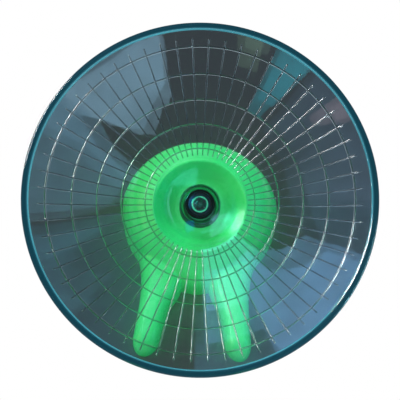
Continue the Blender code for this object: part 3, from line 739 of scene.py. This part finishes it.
def metal(name, colour, roughness, fineness, depth, metallic=1):
    """Steel with turned marks, so many to a metre, and a little unevenness of tone."""
    made, nodes, links, shader = new_material(name)
    shader.inputs["Metallic"].default_value = metallic
    coords = nodes.new("ShaderNodeTexCoord").outputs["Object"]
    darker = [metal_shade * part for part in colour]
    tone = clouded(nodes, links, coords, metal_clouds, darker, colour)
    links.new(tone, shader.inputs["Base Color"])
    marks = marks_at(nodes, fineness)
    gloss = [share * roughness for share in metal_marks_spread]
    links.new(ranged(nodes, links, marks, noise_middle, gloss), shader.inputs["Roughness"])
    raised(nodes, links, marks, depth, shader)
    return made


def eased(corners, cut):
    """A closed profile with each corner cut back a little, as turned and stamped edges are."""
    points = []
    for number, here in enumerate(corners):
        here = Vector(here)
        for other in (corners[number - 1], corners[(number + 1) % len(corners)]):
            way = Vector(other) - here
            points.append(here + way.normalized() * min(cut, way.length / 3))
    return points


def onto_pin(bm, along):
    """Turns the faces outwards, and moves a shape made round the Z axis to its place on the pin."""
    bmesh.ops.recalc_face_normals(bm, faces=bm.faces)
    bmesh.ops.transform(bm, matrix=lean @ Matrix.Translation((0, 0, along)), verts=bm.verts)


def fit(piece, node, slot, body):
    piece.data.set_sharp_from_angle(angle=turned_sharp_angle)
    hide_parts(node)
    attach(piece, body)


def turned_piece(name, profile, along, finish, slot, body):
    """Spins a profile into a piece that stands for the node of the same name."""
    bm = bmesh.new()
    closed = profile[0][0] > 0
    turn_profile(bm, [*profile, profile[0]] if closed else profile, round_sides)
    bmesh.ops.remove_doubles(bm, verts=bm.verts, dist=fine_weld_reach)
    onto_pin(bm, along)
    fit(new_piece("fine_" + name, bm, finish), name, slot, body)


def groove(side):
    turns = [groove_reach * (1 - 2 * step / groove_steps) for step in range(groove_steps + 1)]
    return [(ball_pitch_radius + side * groove_radius * math.cos(turn),
             groove_radius * math.sin(turn)) for turn in turns]


ground_steel = metal("ground bearing steel", (0.30, 0.32, 0.36), roughness=0.22, fineness=9000,
                     depth=0.000004)
# The shields' dark navy is painted shade: the dark the bearings lie in under the disc
painted_shade_shield_steel = metal("shield steel in painted shade", (0.010, 0.060, 0.080), roughness=0.30, fineness=6000,
                    depth=0.000006, metallic=0.7)
ball_steel = metal("polished ball steel", (0.62, 0.63, 0.65), roughness=0.06, fineness=3000,
                   depth=0.000001)

half = bearing_width / 2
seat = half - shield_seat_depth
outer_race = [(bearing_radius, -half + edge_cut), (bearing_radius, half - edge_cut),
              (bearing_radius - edge_cut, half), (shield_seat_radius, half),
              (shield_seat_radius, seat), (outer_race_inside, seat), *groove(1),
              (outer_race_inside, -seat), (shield_seat_radius, -seat),
              (shield_seat_radius, -half), (bearing_radius - edge_cut, -half)]
inner_race = [(bearing_bore_radius, -half + edge_cut), (bearing_bore_radius, half - edge_cut),
              (bearing_bore_radius + edge_cut, half), (inner_race_radius, half), *groove(-1),
              (inner_race_radius, -half), (bearing_bore_radius + edge_cut, -half)]
sunk = shield_top - shield_dish
pressed = [(shield_outer_radius, shield_top), (shield_outer_lip, shield_top),
           (shield_outer_fold, sunk), (shield_inner_fold, sunk),
           (shield_inner_lip, shield_top), (shield_inner_radius, shield_top)]
top_shield = pressed + [(radius, height - shield_sheet) for radius, height in reversed(pressed)]
bottom_shield = [(radius, -height) for radius, height in top_shield]
for place, middle in bearing_middles.items():
    for part, profile, finish, slot, body in (
            ("outer_race", outer_race, ground_steel, "bearing_steel", "disc"),
            ("inner_race", inner_race, ground_steel, "bearing_steel", "stand"),
            ("top_shield", top_shield, painted_shade_shield_steel, "shield_steel", "disc"),
            ("bottom_shield", bottom_shield, painted_shade_shield_steel, "shield_steel", "disc")):
        turned_piece(place + "_bearing_" + part, profile, middle, finish, slot, body)

# Pin and fastenings
# A fixed, turned and zinc-plated steel pin stands in the stand's boss. A screw from beneath holds
# it down, a toothed push nut holds the bearings on its upper end, and a blackened spring ring
# holds them in the hub tube.
pin_top = -0.0022
journal_radius = 0.0022
collar_radius = 0.0040
collar_top = -0.018395
collar_bottom = -0.020845
spigot_radius = 0.0029
pin_bottom = -0.030845
tapped_hole_end = -0.024045
centre_hole_radius = 0.0006
pin_end_cut = 0.0003
nut_bottom = -0.0034
nut_tip_radius = 0.0025
nut_root_radius = 0.0037
nut_radius = 0.0046
nut_sheet = 0.0003
nut_rise = 0.0004
nut_edge_cut = 0.0001
nut_teeth = 5
nut_sides = 60
# The notch between two teeth: its start and end as shares of the way to the next tooth
notch_start = 0.32
notch_end = 0.68
notch_margin = 0.0001
notch_back = 0.00012
notch_drop_share = 0.8
screw_top = -0.024345
screw_radius = 0.0015
screw_head_radius = 0.00275
screw_head_top = -0.034245
screw_head_bottom = -0.036445
screw_tip_cut = 0.0003
screw_neck_cut = 0.0001
screw_head_cut = 0.0004
socket_radius = 0.00125
socket_depth = 0.0012
socket_draft = 0.999
washer_radius = 0.0035
washer_top = -0.033445
washer_sheet = 0.0005
washer_edge_cut = 0.0001
retainer_inner_radius = 0.0071
retainer_outer_radius = 0.0087
retainer_sheet = 0.0010
retainer_opening = math.radians(36)
retainer_edge_cut = 0.0002
retainer_steps = 64

# The pin's dark green is painted shade and a painted reflection of the green stand round it
painted_shade_pin_steel = metal("zinc-plated pin steel in painted green shade", (0.06, 0.30, 0.19), roughness=0.28,
                     fineness=7000, depth=0.000006)
screw_steel = metal("zinc-plated screw steel", (0.50, 0.51, 0.50), roughness=0.30,
                    fineness=5000, depth=0.000004)
spring_steel = metal("blackened spring steel", (0.06, 0.06, 0.07), roughness=0.40,
                     fineness=5000, depth=0.000004, metallic=0.6)
# The push nut's mint green is a painted reflection of the green stand round it
painted_reflection_nut_steel = metal("push nut steel with painted green reflection", (0.16, 0.58, 0.34), roughness=0.22,
                  fineness=6000, depth=0.000004)
# The teeth's near black is painted shade, where they slope up and away from the light
painted_shade_teeth_steel = metal("push nut teeth in painted shade", (0.010, 0.10, 0.07), roughness=0.35,
                    fineness=5000, depth=0.000004, metallic=0.8)

turned_piece("axle_pin", [
    (0, pin_top - centre_hole_radius), (centre_hole_radius, pin_top),
    (journal_radius - pin_end_cut, pin_top), (journal_radius, pin_top - pin_end_cut),
    (journal_radius, collar_top), (collar_radius - edge_cut, collar_top),
    (collar_radius, collar_top - edge_cut), (collar_radius, collar_bottom + edge_cut),
    (collar_radius - edge_cut, collar_bottom), (spigot_radius, collar_bottom),
    (spigot_radius, pin_bottom + pin_end_cut), (spigot_radius - pin_end_cut, pin_bottom),
    (screw_hole_radius, pin_bottom), (screw_hole_radius, tapped_hole_end),
    (0, tapped_hole_end)], 0, painted_shade_pin_steel, "pin_steel", "stand")
washer = eased([(screw_hole_radius, 0), (washer_radius, 0), (washer_radius, -washer_sheet),
                (screw_hole_radius, -washer_sheet)], washer_edge_cut)
turned_piece("axle_screw_washer", washer, washer_top, screw_steel, "screw_steel", "stand")

bm = bmesh.new()
nut = [(nut_tip_radius, nut_rise), (nut_root_radius, 0), (nut_radius - nut_edge_cut, 0),
       (nut_radius, nut_edge_cut), (nut_radius, nut_sheet - nut_edge_cut),
       (nut_radius - nut_edge_cut, nut_sheet), (nut_root_radius, nut_sheet),
       (nut_tip_radius, nut_rise + nut_sheet)]
turn_profile(bm, nut + nut[:1], nut_sides)
bmesh.ops.remove_doubles(bm, verts=bm.verts, dist=fine_weld_reach)
for vert in bm.verts:
    place = (math.atan2(vert.co.y, vert.co.x) / math.tau * nut_teeth) % 1
    toothed = vert.co.xy.length < nut_root_radius - notch_margin
    if toothed and notch_start < place < notch_end:
        vert.co.xy *= (nut_root_radius - notch_back) / vert.co.xy.length
        vert.co.z -= nut_rise * notch_drop_share
# The teeth take the second, painted-shade finish
for face in bm.faces:
    toothed = face.calc_center_median().xy.length < nut_root_radius - notch_margin
    face.material_index = 1 if toothed else 0
onto_pin(bm, nut_bottom)
push_nut = new_piece("fine_push_nut", bm, painted_reflection_nut_steel, painted_shade_teeth_steel)
fit(push_nut, "axle_push_nut", "spring_steel", "stand")

bm = bmesh.new()
screw = [(0, screw_top), (screw_radius - screw_tip_cut, screw_top),
         (screw_radius, screw_top - screw_tip_cut), (screw_radius, screw_head_top),
         (screw_head_radius - screw_neck_cut, screw_head_top),
         (screw_head_radius, screw_head_top - screw_neck_cut),
         (screw_head_radius, screw_head_bottom + screw_head_cut),
         (screw_head_radius - screw_head_cut, screw_head_bottom),
         (socket_radius, screw_head_bottom)]
turn_profile(bm, screw, round_sides)
bmesh.ops.remove_doubles(bm, verts=bm.verts, dist=fine_weld_reach)
mouth = bmesh.ops.extrude_edge_only(bm, edges=open_edges(bm.edges))["geom"]
half_side = math.pi / 6
for vert in new_verts(mouth):
    turn = (math.atan2(vert.co.y, vert.co.x) + half_side) % (2 * half_side) - half_side
    flat = socket_radius * math.cos(half_side) / math.cos(turn)
    vert.co.xy *= socket_draft * flat / vert.co.xy.length
bottom = bmesh.ops.extrude_edge_only(bm, edges=open_edges(mouth))["geom"]
for vert in new_verts(bottom):
    vert.co.z += socket_depth
bmesh.ops.contextual_create(bm, geom=open_edges(bottom))
onto_pin(bm, 0)
fit(new_piece("fine_axle_screw", bm, screw_steel), "axle_screw", "screw_steel", "stand")

bm = bmesh.new()
ring = eased([(retainer_inner_radius, 0), (retainer_outer_radius, 0),
              (retainer_outer_radius, -retainer_sheet),
              (retainer_inner_radius, -retainer_sheet)], retainer_edge_cut)
chain(bm, [(radius, 0, height) for radius, height in ring + ring[:1]])
bmesh.ops.remove_doubles(bm, verts=bm.verts, dist=fine_weld_reach)
bmesh.ops.rotate(bm, verts=bm.verts, cent=(0, 0, 0),
                 matrix=Matrix.Rotation(-math.pi / 2 + retainer_opening / 2, 3, "Z"))
cap = bmesh.ops.contextual_create(bm, geom=list(bm.edges))["faces"]
bmesh.ops.spin(bm, geom=cap, cent=(0, 0, 0), axis=(0, 0, 1), angle=math.tau - retainer_opening,
               steps=retainer_steps)
onto_pin(bm, retainer_top)
retainer = new_piece("fine_retaining_ring", bm, spring_steel)
fit(retainer, "hub_retaining_ring", "spring_steel", "disc")

# The nodes that keep their CAD meshes get a finish by a word in their names
# The washers take the pin steel, with its painted green shade
finishes = {"ball": ball_steel, "cage": ground_steel, "spacer": ground_steel,
            "washer": painted_shade_pin_steel}
replaced = {"stand", "running_disc", "axle_pin", "axle_screw_washer", "axle_push_nut", "axle_screw",
            "hub_retaining_ring"}
inner_pieces = [piece for piece in bpy.context.scene.objects if piece.name.startswith("fine_")]
for name, node in frame["nodes"].items():
    if name in replaced or name.endswith("_race") or name.endswith("_shield"):
        continue
    inner_pieces.append(node)
    for word, finish in finishes.items():
        if word in name:
            for material_slot in node.material_slots:
                material_slot.material = finish

# Floor, light and camera
# A pale floor that is white to the camera, and grey to rays through the disc inside one oval under
# it. Soft lamps light the stand, and one bright low lamp the disc, which also reflects pale cards
# set round the hub. The camera looks down from the front.
ground_drop = 0.00005
ground_radius = 8
ground_sides = 96
ground_grey = (0.55, 0.55, 0.56)
ground_roughness = 0.9
ground_gloss = 0.1
# The oval on the ground: its middle, and one over its half width, half length and half height
oval_middle = (-0.00033, 0.07689, 0)
oval_shrink = (9.011, 7.103, 1)
# Shares of the way out in the oval: where the ground whitens to the camera, how white it is
# there, and where its grey ends for rays through the disc
shadow_reach = (0.2, 0.995)
shadow_whiteness = (0.72, 1)
grey_edge_reach = (1.04, 1.06)
sky_colour = (0.92, 0.96, 1.0)
sky_strength = (0.12, 1)
card_clouds = (7, 2)
card_spread = (0.7, 1.3)

bm = bmesh.new()
bmesh.ops.create_circle(bm, cap_ends=True, segments=ground_sides, radius=ground_radius,
                        matrix=Matrix.Translation((0, 0, -ground_drop)))
pale, nodes, links, shader = new_material("pale floor")
shader.inputs["Base Color"].default_value = (*ground_grey, 1)
shader.inputs["Roughness"].default_value = ground_roughness
shader.inputs["Specular IOR Level"].default_value = ground_gloss
place = nodes.new("ShaderNodeNewGeometry")
away = vector_maths(nodes, links, "SUBTRACT", place.outputs["Position"], oval_middle)[0]
shrunk = vector_maths(nodes, links, "MULTIPLY", away, oval_shrink)[0]
reach = vector_maths(nodes, links, "LENGTH", shrunk)["Value"]


def joined(operation, one, other):
    maths = nodes.new("ShaderNodeMath")
    maths.operation = operation
    links.new(one, maths.inputs[0])
    links.new(other, maths.inputs[1])
    return maths.outputs[0]


path = nodes.new("ShaderNodeLightPath")
shadowed = ranged(nodes, links, reach, shadow_reach, shadow_whiteness)
straight = joined("MULTIPLY", shadowed, path.outputs["Is Camera Ray"])
bent = joined("MAXIMUM", path.outputs["Is Glossy Ray"], path.outputs["Is Transmission Ray"])
bent = joined("MULTIPLY", ranged(nodes, links, reach, grey_edge_reach, (0, 1)), bent)
white = nodes.new("ShaderNodeEmission")
white.inputs["Strength"].default_value = 1
mixed = nodes.new("ShaderNodeMixShader")
links.new(joined("MAXIMUM", straight, bent), mixed.inputs["Fac"])
links.new(shader.outputs[0], mixed.inputs[1])
links.new(white.outputs[0], mixed.inputs[2])
open_below = nodes.new("ShaderNodeMixShader")
links.new(place.outputs["Backfacing"], open_below.inputs["Fac"])
links.new(mixed.outputs[0], open_below.inputs[1])
links.new(nodes.new("ShaderNodeBsdfTransparent").outputs[0], open_below.inputs[2])
links.new(open_below.outputs[0], nodes["Material Output"].inputs["Surface"])
floor = new_piece("floor", bm, pale)

world = bpy.data.worlds.new("studio")
bpy.context.scene.world = world
world.use_nodes = True
nodes, links = world.node_tree.nodes, world.node_tree.links
nodes["Background"].inputs["Color"].default_value = (*sky_colour, 1)
path = nodes.new("ShaderNodeLightPath")
sky = ranged(nodes, links, path.outputs["Is Camera Ray"], (0, 1), sky_strength)
links.new(sky, nodes["Background"].inputs["Strength"])


def direction(azimuth, elevation):
    """From the front at 0, 0. Azimuth turns towards the right side, and elevation goes up."""
    a, e = math.radians(azimuth), math.radians(elevation)
    return Vector((math.sin(a) * math.cos(e), -math.cos(a) * math.cos(e), math.sin(e)))


def only_lights(lamp, pieces, blockers):
    for part, members in (("receiver_collection", pieces), ("blocker_collection", blockers)):
        if members is not None:
            group = bpy.data.collections.new(lamp.name)
            for piece in members:
                group.objects.link(piece)
            setattr(lamp.light_linking, part, group)


def softbox(name, azimuth, elevation, size, strength, distance=1.0, colour=(1, 1, 1),
            lights=None, blockers=None):
    """A lamp that faces the hub. Strength is how bright its face looks, where white paper is 1."""
    lamp = bpy.data.lights.new(name, "AREA")
    lamp.shape = "RECTANGLE"
    lamp.size, lamp.size_y = size
    lamp.color = colour
    lamp.energy = strength * size[0] * size[1] * math.pi
    made = bpy.data.objects.new(name, lamp)
    bpy.context.scene.collection.objects.link(made)
    place = hub + distance * direction(azimuth, elevation)
    facing = (place - hub).to_track_quat("Z", "Y").to_matrix().to_4x4()
    made.matrix_world = Matrix.Translation(place) @ facing
    made.visible_camera = False
    only_lights(made, lights, blockers)


def reflector(name, corners, strength, colour, distance=1.0):
    """A cloudy card that only the disc reflects, named for the part of the dish that shows it.

    Its corners are (azimuth, elevation) from the hub.
    """
    bm = bmesh.new()
    verts = [bm.verts.new(hub + distance * direction(*corner)) for corner in corners]
    bmesh.ops.contextual_create(bm, geom=verts)
    shining, nodes, links, _ = new_material(name)
    glow = nodes.new("ShaderNodeEmission")
    glow.inputs["Color"].default_value = (*colour, 1)
    coords = nodes.new("ShaderNodeTexCoord").outputs["Object"]
    clouds = noise_at(nodes, links, coords, *card_clouds)
    strengths = [share * strength for share in card_spread]
    links.new(ranged(nodes, links, clouds, noise_middle, strengths), glow.inputs["Strength"])
    links.new(glow.outputs[0], nodes["Material Output"].inputs["Surface"])
    card = new_piece(name, bm, shining)
    card.visible_camera = card.visible_diffuse = False
    card.visible_transmission = card.visible_shadow = False
    only_lights(card, [disc], [stand])


softbox("floor_light", azimuth=0.3, elevation=52.4, size=(0.02, 0.02), strength=1500,
        distance=0.42, lights=[floor])
reflector("left_card", [(91, 33), (77, 47), (65, 54), (56, 56), (46, 54), (51, 43), (56, 32),
                        (63, 22)], strength=1.2, colour=(0.32, 0.75, 1.0))
reflector("upper_left_card", [(63, 22), (56, 32), (51, 43), (46, 54), (38, 50), (44, 40),
                              (44, 31), (52, 18)], strength=2.2, colour=(0.32, 0.72, 1.0))
reflector("top_left_card", [(52, 18), (44, 31), (37, 35), (31, 39), (24, 40), (19, 34),
                            (14, 29), (14, 20), (15, 8)], strength=3.2, colour=(0.42, 0.76, 1.0))
reflector("right_card", [(-109, 40), (-98, 36), (-91, 43), (-85, 49), (-80, 52), (-84, 60),
                         (-81, 68), (-68, 71), (-59, 72), (-62, 76), (-63, 81), (-31, 87),
                         (-107, 88), (-156, 84), (-166, 77), (-169, 72), (-151, 71),
                         (-138, 69), (-126, 67), (-132, 63), (-138, 56), (-143, 48),
                         (-121, 43)], strength=3.9, colour=(0.25, 0.58, 1.0))
reflector("between_legs_card", [(-126, 67), (-151, 71), (-169, 72), (-177, 72), (-178, 51),
                                (-162, 50), (-143, 48)], strength=0.9, colour=(0.25, 0.65, 1.0))
reflector("lower_left_card", [(128, 45), (92, 68), (76, 64), (109, 40)],
          strength=1.0, colour=(0.20, 0.70, 1.0), distance=0.97)
reflector("lower_left_strip", [(107, 39), (72, 62), (64, 59), (95, 35)],
          strength=1.0, colour=(0.20, 0.70, 1.0), distance=0.97)
reflector("far_left_card", [(88, 80), (72, 74), (54, 62), (94, 35), (116, 42), (129, 46),
                            (147, 49), (158, 50), (150, 66), (137, 76)],
          strength=0.45, colour=(0.15, 0.60, 1.0))
reflector("far_right_card", [(-54, 18), (-45, 44), (-58, 50), (-81, 29)],
          strength=0.9, colour=(0.35, 0.65, 1.0))
reflector("above_right_card", [(-36, 12), (-27, 36), (-45, 44), (-54, 18)],
          strength=0.6, colour=(0.35, 0.65, 1.0))
reflector("below_right_card", [(-81, 29), (-58, 50), (-78, 53), (-91, 43), (-98, 36)],
          strength=0.7, colour=(0.25, 0.65, 1.0))
reflector("teal_strip", [(-23, 9), (-18, 31), (-24, 32), (-35, 12)],
          strength=1.8, colour=(0.05, 0.80, 1.0))
reflector("pink_strip", [(-47, 16), (-40, 28), (-43, 29), (-56, 19)],
          strength=1.4, colour=(0.90, 0.80, 1.0), distance=0.97)
reflector("green_strip", [(-9, 7), (-11, 18), (-18, 19), (-18, 8)],
          strength=1.0, colour=(0.60, 1.00, 0.70))
reflector("upper_left_patch", [(-10.5, 68.9), (-8.4, 70.4), (-4.9, 71.5), (-2.0, 71.6),
                               (-1.7, 69.2), (-7.4, 68.9)],
          strength=4.0, colour=(0.15, 1.0, 0.85))
reflector("lower_right_patch", [(2.3, 64.0), (2.7, 66.2), (7.2, 66.5), (9.0, 65.5), (5.9, 63.7)],
          strength=4.0, colour=(0.32, 0.80, 1.0))
reflector("small_patch", [(-3.2, 64.4), (-1.4, 64.7), (-1.6, 65.7), (-3.7, 65.4)],
          strength=4.0, colour=(0.02, 0.40, 1.0))
softbox("window", azimuth=-110, elevation=24, size=(0.54, 0.30), strength=110,
        lights=[disc], blockers=[stand])
under = [stand, *inner_pieces]
softbox("stand_back", azimuth=-150, elevation=52, size=(0.8, 0.8), strength=4.2,
        colour=(0.7, 1.0, 0.85), lights=[stand], blockers=under)
softbox("stand_front", azimuth=0, elevation=62, size=(1.0, 1.0), strength=1.4,
        colour=(0.4, 1.0, 0.85), lights=[stand, push_nut], blockers=under)
softbox("stand_left", azimuth=-75, elevation=35, size=(0.8, 0.8), strength=3.2,
        colour=(1.0, 0.80, 0.40), lights=under, blockers=under)
softbox("stand_right", azimuth=75, elevation=35, size=(0.8, 0.8), strength=2.4,
        colour=(0.15, 0.85, 1.0), lights=under, blockers=under)

rim_above_hub = 0.033616
view_elevation = 52.0
view_azimuth = 0.3
view_roll = -3.0
view_distance = 0.4166
camera_data = bpy.data.cameras.new("camera")
camera_data.sensor_width = 36
camera_data.lens = 74.655
camera_data.shift_x = -0.0005
camera_data.shift_y = -0.0125
camera_data.clip_start = 0.01
camera = bpy.data.objects.new("camera", camera_data)
bpy.context.scene.collection.objects.link(camera)
way = direction(view_azimuth, view_elevation)
rolled = Matrix.Rotation(math.radians(-view_roll), 3, "Z")
turned = way.to_track_quat("Z", "Y").to_matrix() @ rolled
rim_middle = lean @ Vector((0, 0, rim_above_hub))
camera.matrix_world = Matrix.Translation(rim_middle + way * view_distance) @ turned.to_4x4()
bpy.context.scene.camera = camera
bpy.context.scene.view_settings.view_transform = "Standard"
